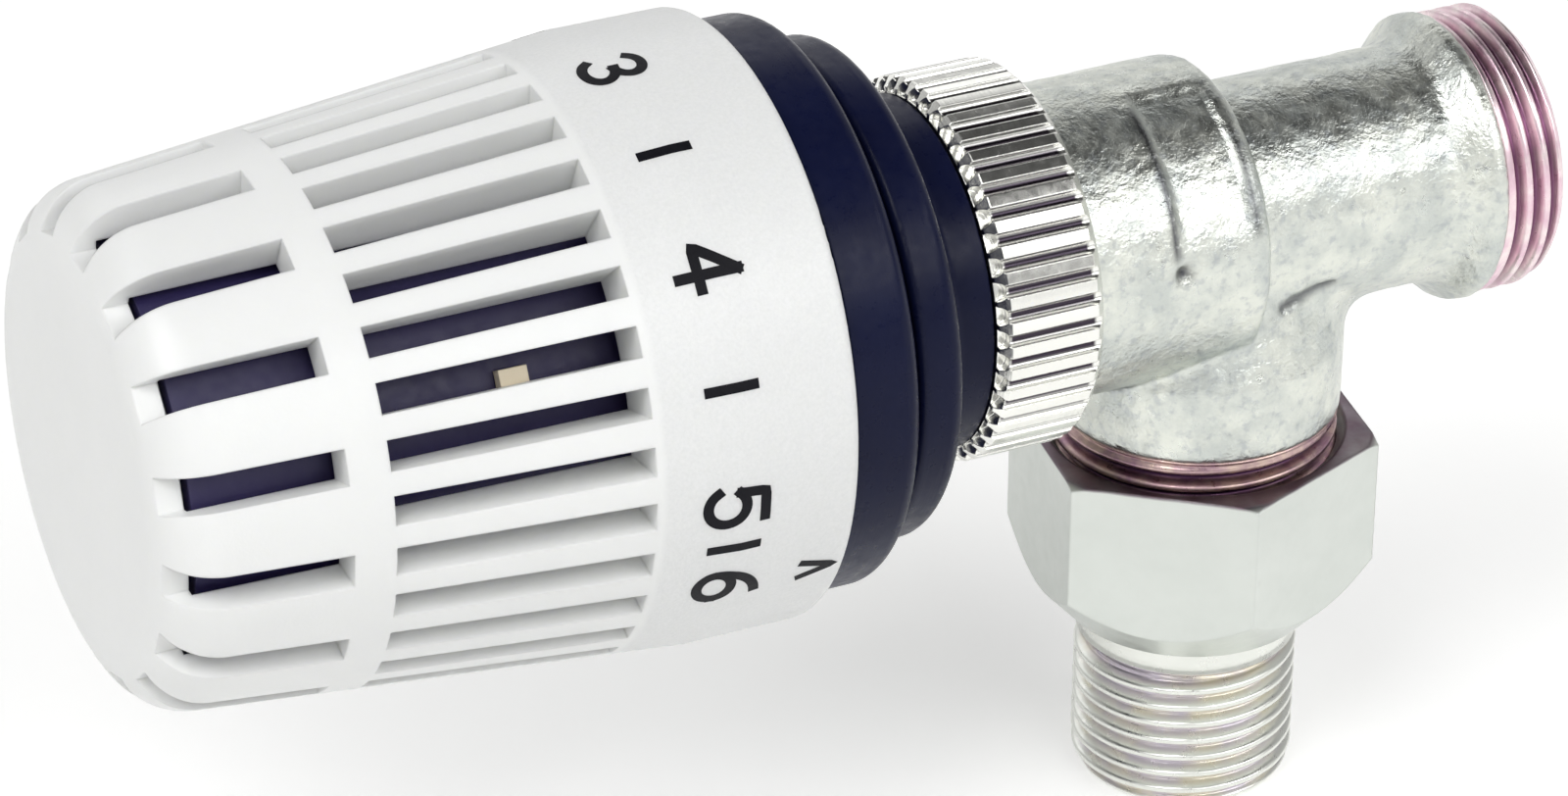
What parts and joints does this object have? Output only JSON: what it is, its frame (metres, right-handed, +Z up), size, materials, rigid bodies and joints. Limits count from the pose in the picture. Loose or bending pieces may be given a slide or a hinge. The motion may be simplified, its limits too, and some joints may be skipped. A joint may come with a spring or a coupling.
{
  "type": "return temperature limiter valve",
  "caption": "Axial return temperature limiter valve with a slotted conical setting head, knurled nut, cast angle body, pipe thread and union nut with a threaded tail.",
  "frame": {"origin": "centre of the tail's open end, on the tail's axis", "axes": "+Z up along the tail's axis to the head axis, +X along the head axis to the pipe thread, the setting head along -X"},
  "size_m": [0.1388, 0.055, 0.0863],
  "materials": {
    "wheel_plastic": "satin moulded, off-white",
    "base_plastic": "satin moulded, dark navy",
    "housing_plastic": "moulded, dark violet",
    "clip_plastic": "moulded, cream",
    "cast_nickel": "nickel plate over a rough brass casting",
    "turned_nickel": "matt nickel plate over turned brass",
    "bright_nickel": "bright nickel plate",
    "brass": "turned brass",
    "steel": "bright steel",
    "capsule_metal": "drawn metal",
    "rubber": "black rubber"
  },
  "bodies": {
    "valve": {"valve_body": "cast_nickel", "tail_piece": "turned_nickel", "tail_seal": "rubber", "snap_ring": "steel", "head_base": "base_plastic", "sensor_housing": "housing_plastic", "low_stop_clip": "clip_plastic", "high_stop_clip": "clip_plastic", "heat_conductor": "brass", "overtravel_spring": "steel", "insert_housing": "brass", "insert_seal": "rubber", "gland_nut": "brass", "gland_seal": "rubber", "return_spring": "steel", "spring_guide": "brass"},
    "handwheel": {"handwheel": "wheel_plastic"},
    "sensor": {"sensor_carrier": "housing_plastic", "sensor_capsule": "capsule_metal", "push_rod": "steel"},
    "spindle": {"spindle": "steel", "valve_plate": "brass", "plate_seal": "rubber", "plate_washer": "brass"},
    "knurled_nut": {"knurled_nut": "bright_nickel"},
    "union_nut": {"union_nut": "turned_nickel"}
  },
  "joints": [
    {"name": "handwheel_turn", "type": "hinge", "parent": "valve", "child": "handwheel", "pos_m": [0, 0, 0.0588], "axis": [1, 0, 0], "range_deg": [-111, 92]},
    {"name": "sensor_slide", "type": "slide", "parent": "valve", "child": "sensor", "axis": [1, 0, 0], "range_m": [-0.00186, 0.00154], "deforming": ["overtravel_spring"]},
    {"name": "spindle_slide", "type": "slide", "parent": "valve", "child": "spindle", "axis": [1, 0, 0], "range_m": [-0.00186, 0.00154], "deforming": ["return_spring"]},
    {"name": "knurled_nut_turn", "type": "hinge", "parent": "valve", "child": "knurled_nut", "pos_m": [0, 0, 0.0588], "axis": [1, 0, 0], "continuous": true},
    {"name": "union_nut_turn", "type": "hinge", "parent": "valve", "child": "union_nut", "pos_m": [0, 0, 0.0365], "axis": [0, 0, 1], "continuous": true}
  ],
  "couplings": [
    {"joint": "sensor_slide", "follows": "handwheel_turn", "m_per_rad": 0.00095493},
    {"joint": "spindle_slide", "follows": "handwheel_turn", "m_per_rad": 0.00095493}
  ]
}
